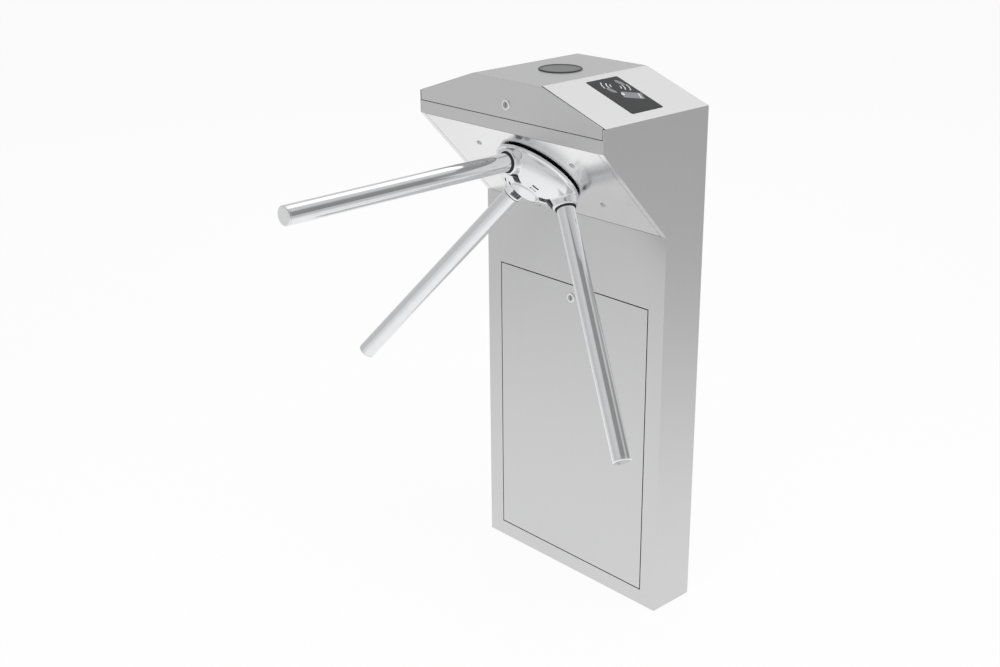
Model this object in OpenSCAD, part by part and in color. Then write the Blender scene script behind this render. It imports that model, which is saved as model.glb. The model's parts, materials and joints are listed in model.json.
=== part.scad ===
// Tripod turnstile with a slim sheet steel cabinet and an overhanging head.
// Millimetres, +Z up, origin on the floor under the middle of the cabinet's foot.
// X runs along the cabinet, -Y faces the passage.

/* [Cabinet] */
// Length of the cabinet along X
cabinet_l = 442; // [420:1:500]
// Depth of the body at the floor
body_d = 96; // [90:1:110]
// Depth of the head from front to back
head_d = 254; // [244:1:264]
// Height of the strip below the door
plinth_h = 30; // [26:1:40]
// Height of the doorway
door_h = 556; // [530:1:570]
// Height of the fixed panel above the door
upper_panel_h = 136; // [126:1:146]
// Height taken up by the slanted panel
slant_h = 170; // [164:1:176]
// Height of the head rail below the lid's seam
rail_h = 22; // [18:1:26]
// Height of the end faces above the lid's seam
end_h = 18; // [12:1:26]
// Rise of the end roofs to the flat top
roof_h = 48; // [42:1:54]
// Length of the flat top between the two roofs
flat_l = 164; // [156:1:180]
// Thickness of the cabinet sheet
sheet_t = 2; // [1.5:0.5:2.5]
// Width of the seams round lid and slanted panel
seam_gap = 1; // [0.8:0.1:1.5]
// Width of the front returns of the end shells
flange_w = 35; // [32:1:40]
// Width of the end shells' returns along the slant
slant_flange_w = 12; // [10:1:16]
// Depth of the folded lips of doors and panels
lip_w = 12; // [10:1:13]
// Thickness of the base plate
base_t = 12; // [8:1:14]

/* [Anchors and cable entry] */
// Distance between the anchor holes along X
anchor_dx = 340; // [300:1:350]
// Distance between the anchor holes along Y
anchor_dy = 44; // [36:1:48]
// Radius of each anchor hole
anchor_r = 6.5; // [5:0.5:8]
// Radius of the cable entry
entry_r = 20; // [15:1:24]

/* [Door] */
// Gap round the door
door_gap = 2; // [1.8:0.1:2.5]
// Distance of the door lock below the doorway's top
door_lock_drop = 26; // [22:1:46]
// Radius of the door's pivot pins
pivot_r = 2.5; // [2:0.5:3]

/* [Locks and lid hinge] */
// Height of the lid lock above the seam
lid_lock_rise = 24; // [20:1:30]
// Radius of the lock barrels
lock_r = 8; // [7:0.5:9]
// Length of the lock barrels behind the face
lock_l = 18; // [17:0.5:19]
// Length of the lock cams from the barrel axis
cam_l = 36; // [34:1:40]
// Length of the lid hinge
hinge_l = 120; // [100:1:140]
// Radius of the lid hinge's knuckles
knuckle_r = 3; // [2.5:0.5:3.5]

/* [Reader and indicator] */
// Length of the reader plate down the roof
reader_l = 110; // [90:1:116]
// Width of the reader plate
reader_w = 75; // [60:1:90]
// Distance from the roof's upper edge to the reader plate
reader_drop = 14; // [10:1:18]
// Radius of the indicator window
indicator_r = 38; // [30:1:45]

/* [Arms] */
// Radius of the arm tubes
arm_r = 16; // [15:0.5:18]
// Wall of the arm tubes
arm_wall = 1.5; // [1:0.25:2.5]
// Free length of an arm outside the hub
arm_l = 451; // [400:1:500]
// Length of an arm inside its socket
socket_l = 42; // [36:1:44]
// Distance from the hub axis to an arm's mouth
mouth_r = 75; // [73:1:77]
// Height of an arm's mouth above the slanted panel
mouth_h = 35; // [33:1:37]

/* [Hub] */
// Radius of the hub's round flange
hub_flange_r = 82; // [80:1:86]
// Thickness of the hub's flange
hub_flange_t = 6; // [5:0.5:8]
// Gap between slanted panel and flange
hub_gap = 3; // [2:0.5:4]
// Radius of the drum behind the flange
drum_r = 70; // [68:1:72]
// Depth of the drum behind the panel's face
drum_d = 22; // [20:1:23]
// Height of the dome above the flange
dome_h = 38; // [36:1:42]
// Radius of the dome's round shoulder
shoulder_r = 26; // [20:1:30]
// Distance of the hub axis up from the slanted panel's middle
hub_rise = 4; // [0:1:8]

/* [Mechanism] */
// Radius of the shaft
shaft_r = 12.5; // [12:0.5:14]
// Outer radius of the ball bearings
bearing_r = 26; // [25:0.5:27]
// Width of the ball bearings
bearing_w = 15; // [12:0.5:16]
// Length of the bearing housing with its flange
housing_l = 60; // [56:1:62]
// Thickness of the mechanism plate
mount_t = 6; // [5:0.5:8]
// Distance from the panel to the mechanism plate
standoff_l = 24; // [24:0.5:26]
// Radius of the index disc
index_r = 65; // [62:1:66]
// Thickness of the index disc
index_t = 8; // [6:0.5:9]
// Number of slots in the index disc
index_slots = 6; // [6:6:12]
// Swing of a locking pawl from free to locked
pawl_swing = 11; // [9:0.5:12]

/* [Hidden] */
$fn = 48;

// Fits and overruns
cut = 1;
seat_fit = 0.02;
run_fit = 0.05;
slip_fit = 0.3;

// Cabinet places
door_top_h = plinth_h + door_h;
door_lock_h = door_top_h - door_lock_drop;
knee_h = door_top_h + upper_panel_h;
chin_h = knee_h + slant_h;
seam_h = chin_h + rail_h;
lid_lock_h = seam_h + lid_lock_rise;
eave_h = seam_h + end_h;
cabinet_h = eave_h + roof_h;
half_l = cabinet_l / 2;
half_flat = flat_l / 2;
inner_l = half_l - sheet_t;
back_y = body_d / 2;
front_y = -body_d / 2;
head_y = back_y - head_d;
mid_y = back_y - head_d / 2;
doorway_x = half_l - flange_w;
roof_run = half_l - half_flat;
roof_a = atan2(roof_h, roof_run);
roof_drop = sheet_t / cos(roof_a);
slant_a = atan2(head_d - body_d, slant_h);
slant_l = norm([head_d - body_d, slant_h]);
mitre = [sheet_t, sheet_t * tan(slant_a / 2)];
slant_x = inner_l - slant_flange_w + sheet_t - seam_gap;
panel_y = slant_l / 2 - seam_gap;
ledge_w = 12;
ledge_inset = 8;
rear_lip_w = 15;
joining_tab_w = 24;
tab_inset = 10;
stiffener_w = 16;
stiffener_d = 14;
stiffener_l = 850;
screw_x = 113;
screw_y = 56;

// Lid places
lid_flange_h = 16;
hinge_z = cabinet_h - lid_flange_h;
lid_edge = sheet_t + seam_gap;
knuckle_count = 5;
knuckle_gap = 0.4;
leaf_t = 1.5;
leaf_h = 14;
hinge_pin_r = knuckle_r / 2;
hinge_y = back_y + knuckle_r + run_fit;

// Door places
door_x = doorway_x - door_gap;
pivot_inset = 7;
pivot_depth = 6;
pivot_l = 14;

// Lock sizes
lock_head_t = 1.6;
lock_head_r = lock_r + lock_head_t;
lock_nut_t = 4;
lock_nut_r = lock_r + lock_nut_t;
lock_wall = 2.5;
plug_r = lock_r - lock_wall;
cam_w = 12;
cam_t = 2;
key_w = 1.2;
key_l = 6.5;
key_d = 4;
cam_screw_r = 3.2;

// Hub axis places, measured along the axis from the panel's face, inwards negative
plate_back = -sheet_t - standoff_l;
mount_z = plate_back - mount_t;
housing_end = mount_z - housing_l;
pawl_plate_t = 4;
pawl_plate_z = housing_end + pawl_plate_t;
disc_gap = 4;
index_z = housing_end - disc_gap - index_t;
pawl_t = 6;
pawl_z = index_z + index_t / 2;
index_hub_wall = 4.5;
index_hub_r = shaft_r + index_hub_wall;
index_hub_l = 8.5;
sensor_z = index_z - index_hub_l;
sensor_t = 1.5;
sensor_r = 48;
nut_t = 10;
thread_r = 10;
nut_r = 16;
hub_top = hub_gap + hub_flange_t + dome_h;
flange_step = 4;
sleeve_wall = 5.5;
pocket_play = 2;

// Pawls and solenoids, drawn for the right side
pawl_pivot = [64, 46];
pawl_pin_r = 4;
link_l = 40;
pawl_w = 12;
pawl_boss_r = 8;
link_w = 10;
nose_w = 8;
nose_gap = 1;
slot_mouth_w = 13;
slot_foot_w = 11;
slot_d = 11;
plunger_r = 4.5;
cross_pin_r = 2;
solenoid = [26, 56, 24];
solenoid_top = 26;
plunger_stroke = link_l * sin(pawl_swing);
fork_gap = 0.5;
fork_t = 3.5;
cross_pin_play = 1.5;
washer_t = 1.2;

// Places along a profile

function roof_z(x) = cabinet_h - (abs(x) - half_flat) * roof_h / roof_run;

module in_yz(x, t) {
    translate([x, 0, 0]) rotate([90, 0, 90]) linear_extrude(t) children();
}

module in_xz(y, t) {
    translate([0, y + t, 0]) rotate([90, 0, 0]) linear_extrude(t) children();
}

module slant_frame() {
    translate([0, (head_y + front_y) / 2, (chin_h + knee_h) / 2])
        rotate([90 + slant_a, 0, 0]) children();
}

module hub_frame() {
    slant_frame() translate([0, hub_rise, 0]) children();
}

module arm_frame(k) {
    rotate([0, 0, 120 * k]) translate([0, mouth_r, mouth_h]) rotate([-slant_a, 0, 0]) children();
}

module roof_frame() {
    along = reader_drop + reader_l / 2;
    x = half_flat + along * cos(roof_a);
    translate([x, mid_y, roof_z(x)]) rotate([0, roof_a, 0]) children();
}

module lock_frame(y, z) {
    translate([0, y, z]) rotate([90, 0, 0]) children();
}

module centred_box(size, z) {
    translate([-size.x / 2, -size.y / 2, z]) cube(size);
}

module mirrored_x() {
    children();
    mirror([1, 0, 0]) children();
}

module ring(r, bore, z, h) {
    translate([0, 0, z]) difference() {
        cylinder(r = r, h = h);
        translate([0, 0, -cut]) cylinder(r = bore, h = h + 2 * cut);
    }
}

module rounded_plate(l, w, r, t) {
    linear_extrude(t) union() {
        square([l - 2 * r, w], center = true);
        square([l, w - 2 * r], center = true);
        for (x = [-1, 1], y = [-1, 1]) translate([x * (l / 2 - r), y * (w / 2 - r)]) circle(r);
    }
}

// Cabinet sheets

module base_plate() {
    color("dimgray") difference() {
        translate([-inner_l, front_y + sheet_t, 0]) cube([2 * inner_l, body_d - 2 * sheet_t, base_t]);
        for (x = [-1, 1], y = [-1, 1])
            translate([x * anchor_dx / 2, y * anchor_dy / 2, -cut])
                cylinder(r = anchor_r, h = base_t + 2 * cut);
        translate([0, 0, -cut]) cylinder(r = entry_r, h = base_t + 2 * cut);
    }
}

module front_sheet_profile(z) {
    polygon([[front_y, z], [front_y, knee_h], [front_y, knee_h] + mitre, [front_y + sheet_t, z]]);
}

module shell_side() {
    in_yz(inner_l, sheet_t) polygon([
        [back_y, 0], [back_y, eave_h], [head_y, eave_h], [head_y, chin_h], [front_y, knee_h], [front_y, 0]
    ]);
}

module shell_slant_return() {
    in_yz(half_l - slant_flange_w, slant_flange_w) polygon([
        [front_y, knee_h], [head_y, chin_h], [head_y, chin_h] + mitre, [front_y, knee_h] + mitre
    ]);
}

module shell_roof() {
    in_xz(head_y + lid_edge, head_d - lid_edge) polygon([
        [half_flat, cabinet_h], [half_l, eave_h],
        [half_l, eave_h - roof_drop], [half_flat, cabinet_h - roof_drop]
    ]);
    translate([half_flat - ledge_w, head_y + ledge_inset, cabinet_h - 2 * sheet_t - slip_fit])
        cube([ledge_w + 2 * sheet_t, head_d - 2 * ledge_inset, sheet_t]);
}

module shell_returns() {
    in_yz(doorway_x, flange_w) front_sheet_profile(0);
    translate([inner_l - rear_lip_w, back_y - 2 * sheet_t, base_t])
        cube([rear_lip_w + sheet_t / 2, sheet_t, eave_h - roof_drop - base_t]);
    translate([inner_l - lip_w, front_y + lip_w, base_t])
        cube([lip_w + sheet_t / 2, body_d - lip_w - 2 * sheet_t, sheet_t]);
}

module end_shell() {
    shell_side();
    shell_slant_return();
    shell_roof();
    shell_returns();
}

module end_shell_left() {
    color("silver") mirror([1, 0, 0]) end_shell();
}

module end_shell_right() {
    color("silver") difference() {
        end_shell();
        roof_frame() translate([0, 0, -sheet_t - cut])
            rounded_plate(reader_l + 2 * slip_fit, reader_w + 2 * slip_fit, reader_corner_r, sheet_t + 2 * cut);
    }
}

module rear_stiffener() {
    inside = stiffener_w - 2 * sheet_t;
    translate([inner_l - rear_lip_w - slip_fit - stiffener_w, back_y - sheet_t - stiffener_d, base_t])
        difference() {
            cube([stiffener_w, stiffener_d, stiffener_l]);
            translate([sheet_t, sheet_t, -cut]) cube([inside, stiffener_d, stiffener_l + 2 * cut]);
        }
}

module battery_shelf() {
    on_rear(battery_at, battery + 2 * [sheet_t, sheet_t, sheet_t]) {
        cube([battery.x + 2 * sheet_t, battery.y + 2 * sheet_t, sheet_t]);
        cube([battery.x + 2 * sheet_t, sheet_t, shelf_lip_h]);
        for (x = [0, battery.x + sheet_t]) translate([x, 0, 0])
            cube([sheet_t, battery.y + 2 * sheet_t, shelf_lip_h]);
    }
}

module rear_panel() {
    low = lid_edge / cos(roof_a);
    shoulder = half_flat + seam_gap;
    color("silver") in_xz(back_y - sheet_t, sheet_t) polygon([
        [-inner_l, 0], [inner_l, 0], [inner_l, roof_z(inner_l) - low], [shoulder, roof_z(shoulder) - low],
        [shoulder, hinge_z - seam_gap / 2], [-shoulder, hinge_z - seam_gap / 2],
        [-shoulder, roof_z(shoulder) - low], [-inner_l, roof_z(inner_l) - low]
    ]);
}

module rear_frame() {
    color("gray") {
        mirrored_x() rear_stiffener();
        battery_shelf();
    }
}

module pivot_hole(z) {
    translate([-door_x + pivot_inset, front_y + pivot_depth, z])
        cylinder(r = pivot_r + run_fit, h = 4 * sheet_t);
}

module front_panel() {
    color("silver") difference() {
        union() {
            in_yz(-doorway_x, 2 * doorway_x) front_sheet_profile(door_top_h);
            translate([-doorway_x, front_y, door_top_h]) cube([2 * doorway_x, sheet_t + lip_w, sheet_t]);
            mirrored_x() translate([doorway_x - joining_tab_w / 2, front_y + sheet_t, door_top_h + tab_inset])
                cube([joining_tab_w, sheet_t, knee_h - door_top_h - 2 * tab_inset]);
        }
        pivot_hole(door_top_h - sheet_t);
    }
}

module plinth_strip() {
    color("silver") difference() {
        union() {
            translate([-doorway_x, front_y, 0]) cube([2 * doorway_x, sheet_t, plinth_h]);
            translate([-doorway_x, front_y, plinth_h - sheet_t])
                cube([2 * doorway_x, sheet_t + lip_w, sheet_t]);
        }
        pivot_hole(plinth_h - 2 * sheet_t);
    }
}

module head_rail() {
    color("silver") in_yz(-inner_l, 2 * inner_l) polygon([
        [head_y, chin_h], [head_y, seam_h], [head_y + sheet_t + lip_w, seam_h],
        [head_y + sheet_t + lip_w, seam_h - sheet_t], [head_y + sheet_t, seam_h - sheet_t],
        [head_y, chin_h] + mitre
    ]);
}

module slanted_panel() {
    color("whitesmoke") slant_frame() difference() {
        union() {
            translate([-slant_x, -panel_y, -sheet_t]) cube([2 * slant_x, 2 * panel_y, sheet_t]);
            mirrored_x() translate([slant_x - joining_tab_w / 2, tab_inset - panel_y, -2 * sheet_t])
                cube([joining_tab_w / 2 + slant_flange_w / 2, 2 * (panel_y - tab_inset), sheet_t]);
        }
        translate([0, hub_rise, -2 * sheet_t - cut]) cylinder(r = drum_r + hub_gap, h = 2 * (sheet_t + cut));
        at_panel_screws() translate([0, 0, -sheet_t - cut])
            cylinder(r = screw_r + slip_fit, h = sheet_t + 2 * cut);
    }
}

// Small fasteners of the slanted panel

screw_r = 3;
screw_head_r = 5;
screw_head_t = 2;
screw_l = 14;
standoff_r = 7;

module at_panel_screws() {
    for (x = [-1, 1], y = [-1, 1]) translate([x * screw_x, y * screw_y, 0]) children();
}

module panel_screws() {
    color("gray") slant_frame() at_panel_screws() {
        difference() {
            cylinder(r1 = screw_head_r, r2 = screw_head_r - screw_head_t / 2, h = screw_head_t);
            translate([0, 0, screw_head_t / 2]) cylinder(r = screw_r / 2, h = screw_head_t, $fn = 6);
        }
        translate([0, 0, -screw_l]) cylinder(r = screw_r, h = screw_l + cut / 2);
    }
}

// Door, its pivots and its lock

module door() {
    h = door_top_h - plinth_h - 2 * door_gap;
    z = plinth_h + door_gap;
    color("silver") difference() {
        union() {
            translate([-door_x, front_y, z]) cube([2 * door_x, sheet_t, h]);
            for (at = [z, z + h - sheet_t]) translate([-door_x, front_y, at])
                cube([2 * door_x, sheet_t + lip_w, sheet_t]);
            mirrored_x() translate([door_x - sheet_t, front_y, z]) cube([sheet_t, sheet_t + lip_w, h]);
        }
        for (at = [z, z + h - sheet_t]) pivot_hole(at - sheet_t);
        lock_hole(front_y, door_lock_h);
    }
}

module door_pivot_pins() {
    color("gray") for (z = [plinth_h - pivot_l / 2, door_top_h - pivot_l / 2 + sheet_t])
        translate([-door_x + pivot_inset, front_y + pivot_depth, z]) cylinder(r = pivot_r, h = pivot_l);
}

module lock_hole(y, z) {
    lock_frame(y, z) translate([0, 0, -sheet_t - cut]) cylinder(r = lock_r + run_fit, h = sheet_t + 2 * cut);
}

module lock_barrel() {
    difference() {
        union() {
            translate([0, 0, -lock_l]) cylinder(r = lock_r, h = lock_l);
            cylinder(r1 = lock_head_r, r2 = lock_head_r - lock_head_t / 2, h = lock_head_t);
            translate([0, 0, -sheet_t - lock_nut_t]) cylinder(r = lock_nut_r, h = lock_nut_t, $fn = 6);
        }
        translate([0, 0, -lock_l - cut]) cylinder(r = plug_r + run_fit, h = lock_l + lock_head_t + 2 * cut);
    }
}

module lock_plug() {
    difference() {
        union() {
            translate([0, 0, -lock_l - slip_fit])
                cylinder(r = plug_r, h = lock_l + slip_fit + lock_head_t / 2);
            translate([0, 0, -lock_l - slip_fit - cam_t - key_w])
                cylinder(r = cam_screw_r, h = cam_t + 2 * key_w);
        }
        translate([-key_w / 2, -key_l / 2, lock_head_t / 2 - key_d]) cube([key_w, key_l, key_d + cut]);
    }
}

module lock_cam() {
    translate([0, 0, -lock_l - slip_fit - cam_t]) linear_extrude(cam_t) difference() {
        union() {
            circle(cam_w / 2);
            translate([0, -cam_w / 2]) square([cam_l - cam_w / 2, cam_w]);
            translate([cam_l - cam_w / 2, 0]) circle(cam_w / 2);
        }
        circle(cam_screw_r + seat_fit);
    }
}

module door_lock_barrel() {
    color("gainsboro") lock_frame(front_y, door_lock_h) lock_barrel();
}

module door_lock_plug() {
    color("gainsboro") lock_frame(front_y, door_lock_h) lock_plug();
}

module door_lock_cam() {
    color("gray") lock_frame(front_y, door_lock_h) lock_cam();
}

// Lid, its hinge and its lock

module lid() {
    x = inner_l - seam_gap;
    flat_x = half_flat - seam_gap / 2;
    lip_x = half_flat - ledge_w - seam_gap;
    color("silver") difference() {
        union() {
            in_xz(head_y, sheet_t) polygon([
                [-x, seam_h + seam_gap], [x, seam_h + seam_gap], [x, roof_z(x)], [half_flat, cabinet_h],
                [-half_flat, cabinet_h], [-x, roof_z(x)]
            ]);
            translate([-lip_x, head_y, seam_h + seam_gap]) cube([2 * lip_x, lip_w, sheet_t]);
            translate([-flat_x, head_y, cabinet_h - sheet_t]) cube([2 * flat_x, head_d, sheet_t]);
            translate([-flat_x, back_y - sheet_t, hinge_z + seam_gap / 2])
                cube([2 * flat_x, sheet_t, lid_flange_h - seam_gap / 2]);
        }
        lock_hole(head_y, lid_lock_h);
        translate([0, mid_y, cabinet_h - sheet_t - cut])
            cylinder(r = indicator_r - bezel_w, h = sheet_t + 2 * cut);
    }
}

module at_knuckles(first) {
    pitch = hinge_l / knuckle_count;
    for (i = [first : 2 : knuckle_count - 1])
        translate([-hinge_l / 2 + i * pitch + knuckle_gap / 2, hinge_y, hinge_z]) children();
}

module knuckle(up) {
    l = hinge_l / knuckle_count - knuckle_gap;
    difference() {
        union() {
            rotate([0, 90, 0]) cylinder(r = knuckle_r, h = l);
            translate([0, back_y - hinge_y, up > 0 ? 0 : -knuckle_r - knuckle_gap])
                cube([l, leaf_t, knuckle_r + knuckle_gap]);
        }
        translate([-cut, 0, 0]) rotate([0, 90, 0]) cylinder(r = hinge_pin_r + run_fit, h = l + 2 * cut);
    }
}

module lid_hinge_fixed_leaf() {
    color("silver") {
        at_knuckles(0) knuckle(-1);
        translate([-hinge_l / 2 + knuckle_gap / 2, back_y, hinge_z - leaf_h])
            cube([hinge_l - knuckle_gap, leaf_t, leaf_h - knuckle_r - knuckle_gap]);
    }
}

module lid_hinge_moving_leaf() {
    color("silver") {
        at_knuckles(1) knuckle(1);
        translate([-hinge_l / 2 + knuckle_gap / 2, back_y, hinge_z + knuckle_r + knuckle_gap])
            cube([hinge_l - knuckle_gap, leaf_t, leaf_h - knuckle_r - knuckle_gap]);
    }
}

module lid_hinge_pin() {
    color("gray") translate([-hinge_l / 2, hinge_y, hinge_z]) rotate([0, 90, 0])
        cylinder(r = hinge_pin_r, h = hinge_l);
}

module lid_lock_barrel() {
    color("gainsboro") lock_frame(head_y, lid_lock_h) lock_barrel();
}

module lid_lock_plug() {
    color("gainsboro") lock_frame(head_y, lid_lock_h) lock_plug();
}

module lid_lock_cam() {
    color("gray") lock_frame(head_y, lid_lock_h) lock_cam();
}

// Indicator in the flat top and reader in the right roof

bezel_w = 4;
bezel_h = 2;
lens_t = 4;
housing_wall = 3;
housing_d = 20;
reader_corner_r = 3;
reader_t = 4;
reader_proud = 0.6;
module_t = 16;
module_inset = 6;

module indicator_frame() {
    translate([0, mid_y, cabinet_h]) children();
}

module indicator_bezel() {
    color("darkslategray") indicator_frame() rotate_extrude() polygon([
        [indicator_r - bezel_w, 0], [indicator_r, 0], [indicator_r, bezel_h / 2],
        [indicator_r - bezel_w / 3, bezel_h], [indicator_r - bezel_w, bezel_h]
    ]);
}

module indicator_lens() {
    r = indicator_r - bezel_w - seat_fit;
    color("slategray") indicator_frame() {
        translate([0, 0, -lens_t]) cylinder(r = r, h = lens_t + bezel_h / 2);
        ring(r, r - bezel_w / 2, 0, bezel_h * 3 / 4);
    }
}

module indicator_housing() {
    r = indicator_r + bezel_w;
    color("dimgray") indicator_frame() difference() {
        translate([0, 0, -sheet_t - housing_d]) cylinder(r = r, h = housing_d);
        translate([0, 0, -sheet_t - housing_d + housing_wall])
            cylinder(r = indicator_r - bezel_w - housing_wall, h = housing_d);
        translate([0, 0, -lens_t - slip_fit]) cylinder(r = indicator_r - bezel_w, h = lens_t);
    }
}

module reader_plate() {
    color("black") roof_frame() translate([0, 0, reader_proud - reader_t])
        rounded_plate(reader_l, reader_w, reader_corner_r, reader_t);
}

module reader_module() {
    l = reader_l - 2 * module_inset;
    w = reader_w - 2 * module_inset;
    color("dimgray") roof_frame() {
        centred_box([l, w, module_t], reader_proud - reader_t - module_t);
        centred_box([l / 3, w + 2 * module_inset, sheet_t], reader_proud - reader_t - module_t / 2);
    }
}

// Electrics on the rear panel

supply = [150, 34, 96];
supply_at = [0, 344];
battery = [151, 65, 94];
battery_at = [0, 446];
battery_tab = [6, 5, 5];
shelf_lip_h = 14;
board = [170, 1.6, 120];
board_at = [0, 564];
board_gap = 10;
post_r = 4;
chip = [34, 6, 26];
connector = [60, 12, 10];
relay = [20, 15, 16];
strip = [150, 14, 22];
strip_at = [0, 280];
strip_ways = 10;

module on_rear(at, size) {
    translate([at.x - size.x / 2, back_y - sheet_t - size.y, at.y - size.z / 2]) children();
}

module power_supply() {
    vents = 7;
    pitch = supply.z / (vents + 2);
    vent_w = pitch / 2;
    vent_d = sheet_t;
    color("gray") on_rear(supply_at, supply) difference() {
        cube(supply);
        for (i = [1 : vents]) translate([pitch, -cut, i * pitch + pitch / 2])
            cube([supply.x - 2 * pitch, vent_d + cut, vent_w]);
    }
}

module backup_battery() {
    color("dimgray") on_rear(battery_at, battery + 2 * [0, sheet_t, 0]) translate([0, sheet_t + slip_fit, 0]) {
        cube(battery);
        for (x = [battery_tab.x, battery.x - 2 * battery_tab.x])
            translate([x, battery.y / 2 - battery_tab.y, battery.z - cut]) cube(battery_tab + [0, 0, cut]);
    }
}

module control_board() {
    y = back_y - sheet_t - board_gap;
    color("seagreen") {
        translate([board_at.x - board.x / 2, y - board.y, board_at.y - board.z / 2]) {
            cube(board);
            translate([board.x / 3, -chip.y, board.z / 2]) cube(chip + [0, board.y / 2, 0]);
            for (i = [0 : 2]) translate([board.x / 12 + i * (connector.x - connector.y / 2), -connector.y, 0])
                cube([connector.x - connector.y, connector.y + board.y / 2, connector.z]);
            for (i = [0 : 2]) translate([board.x * 3 / 4, -relay.y, connector.z * 2 + i * (relay.z + connector.z)])
                cube(relay + [0, board.y / 2, 0]);
        }
        for (x = [-1, 1], z = [-1, 1])
            translate([board_at.x + x * (board.x / 2 - 2 * post_r), y, board_at.y + z * (board.z / 2 - 2 * post_r)])
                rotate([-90, 0, 0]) translate([0, 0, -board.y / 2])
                    cylinder(r = post_r, h = board_gap + board.y / 2);
    }
}

module terminal_strip() {
    pitch = strip.x / strip_ways;
    color("darkseagreen") on_rear(strip_at, strip) difference() {
        cube(strip);
        for (i = [0 : strip_ways - 1]) translate([(i + 1 / 2) * pitch, cut, strip.z / 2]) rotate([90, 0, 0])
            translate([0, 0, -pitch / 2]) cylinder(r = pitch / 4, h = pitch / 2 + 2 * cut);
    }
}

// Mechanism, along the hub axis

plate_edge = 17;
plate_x = screw_x + plate_edge;
plate_y = screw_y + plate_edge;
housing_flange_r = 54;
housing_flange_t = 8;
housing_wall_t = 12;
housing_bolt_pcr = 46;
housing_bolt_r = 3;
bolt_head_r = 5;
bolt_head_t = 5;
bolt_count = 4;
pillar_r = 6;
pillar_x = 112;
pillar_low = -38;
pillar_high = 64;
bridge_x = 124;
bridge_low = -48;
bridge_high = 76;
board_x = 30;
board_low = 34;
fork_x = 14;
fork_w = 10;
fork_slot = 3.5;
fork_reach = 12;
fork_web = 6;
post_x = 22;
post_y = 70;
post_end_r = 3;
board_t = 1.6;
board_gap_z = 7;
board_z = sensor_z - sensor_t - board_gap_z;

module mechanism_plate() {
    color("darkgray") slant_frame() difference() {
        translate([-plate_x, -plate_y, mount_z]) cube([2 * plate_x, 2 * plate_y, mount_t]);
        translate([0, hub_rise, mount_z - cut]) cylinder(r = bearing_r, h = mount_t + 2 * cut);
        at_panel_screws() translate([0, 0, mount_z - cut])
            cylinder(r = screw_r + slip_fit, h = mount_t + 2 * cut);
    }
}

module plate_standoffs() {
    color("gray") slant_frame() at_panel_screws() {
        ring(standoff_r, screw_r + seat_fit, plate_back, standoff_l);
        translate([0, 0, mount_z - bolt_head_t]) {
            cylinder(r = bolt_head_r, h = bolt_head_t, $fn = 6);
            cylinder(r = screw_r, h = bolt_head_t + mount_t + standoff_l - screw_l);
        }
    }
}

module at_housing_bolts() {
    for (i = [0 : bolt_count - 1]) rotate([0, 0, 45 + i * 360 / bolt_count])
        translate([housing_bolt_pcr, 0, mount_z - housing_flange_t]) children();
}

module bearing_housing() {
    barrel_r = bearing_r + housing_wall_t;
    color("lightslategray") hub_frame() difference() {
        union() {
            translate([0, 0, mount_z - housing_flange_t])
                cylinder(r = housing_flange_r, h = housing_flange_t);
            translate([0, 0, housing_end]) cylinder(r = barrel_r, h = housing_l);
        }
        translate([0, 0, housing_end - cut])
            cylinder(r = shaft_r + housing_wall_t / 2, h = housing_l + 2 * cut);
        translate([0, 0, housing_end - cut]) cylinder(r = bearing_r, h = bearing_w + cut);
        translate([0, 0, mount_z - bearing_w]) cylinder(r = bearing_r, h = bearing_w + cut);
        at_housing_bolts() translate([0, 0, -cut])
            cylinder(r = housing_bolt_r + slip_fit, h = housing_flange_t + 2 * cut);
    }
}

module housing_bolts() {
    color("gray") hub_frame() at_housing_bolts() {
        translate([0, 0, -bolt_head_t]) cylinder(r = bolt_head_r, h = bolt_head_t);
        cylinder(r = housing_bolt_r, h = housing_flange_t);
    }
}

module ball_bearing(z) {
    groove_d = 1;
    mid_r = (shaft_r + bearing_r) / 2;
    groove_w = (bearing_r - shaft_r) / 6;
    hub_frame() difference() {
        ring(bearing_r - seat_fit, shaft_r + run_fit, z, bearing_w);
        for (at = [z - cut, z + bearing_w - groove_d])
            ring(mid_r + groove_w, mid_r - groove_w, at, groove_d + cut);
    }
}

module front_bearing() {
    color("lightgray") ball_bearing(mount_z - bearing_w);
}

module rear_bearing() {
    color("lightgray") ball_bearing(housing_end);
}

module pawl_plate() {
    hole_r = bearing_r + housing_wall_t + slip_fit;
    color("darkgray") hub_frame() difference() {
        translate([-bridge_x, bridge_low, pawl_plate_z])
            cube([2 * bridge_x, bridge_high - bridge_low, pawl_plate_t]);
        translate([0, 0, pawl_plate_z - cut]) cylinder(r = hole_r, h = pawl_plate_t + 2 * cut);
    }
}

module plate_pillars() {
    l = mount_z - pawl_plate_z - pawl_plate_t;
    color("gray") hub_frame() for (x = [-1, 1], y = [pillar_low, pillar_high])
        translate([x * pillar_x, y, pawl_plate_z + pawl_plate_t]) cylinder(r = pillar_r, h = l);
}

module pawl_pins() {
    end_z = pawl_z - pawl_t / 2 - washer_t;
    collar_z = pawl_z + pawl_t / 2 + slip_fit;
    color("gray") hub_frame() mirrored_x() translate([pawl_pivot.x, pawl_pivot.y, end_z]) {
        cylinder(r = pawl_pin_r, h = pawl_plate_z - end_z);
        translate([0, 0, collar_z - end_z]) cylinder(r = pawl_boss_r, h = pawl_plate_z - collar_z);
        translate([0, 0, -washer_t]) cylinder(r = pawl_pin_r + sheet_t, h = washer_t);
    }
}

module solenoid() {
    x = pawl_pivot.x + link_l;
    bore_d = solenoid.y / 2;
    translate([x - solenoid.x / 2, solenoid_top - solenoid.y, pawl_z - solenoid.z / 2]) difference() {
        cube(solenoid);
        translate([solenoid.x / 2, solenoid.y + cut, solenoid.z / 2]) rotate([90, 0, 0])
            cylinder(r = plunger_r + run_fit, h = bore_d + cut);
    }
}

module solenoid_left() {
    color("goldenrod") hub_frame() mirror([1, 0, 0]) solenoid();
}

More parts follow.
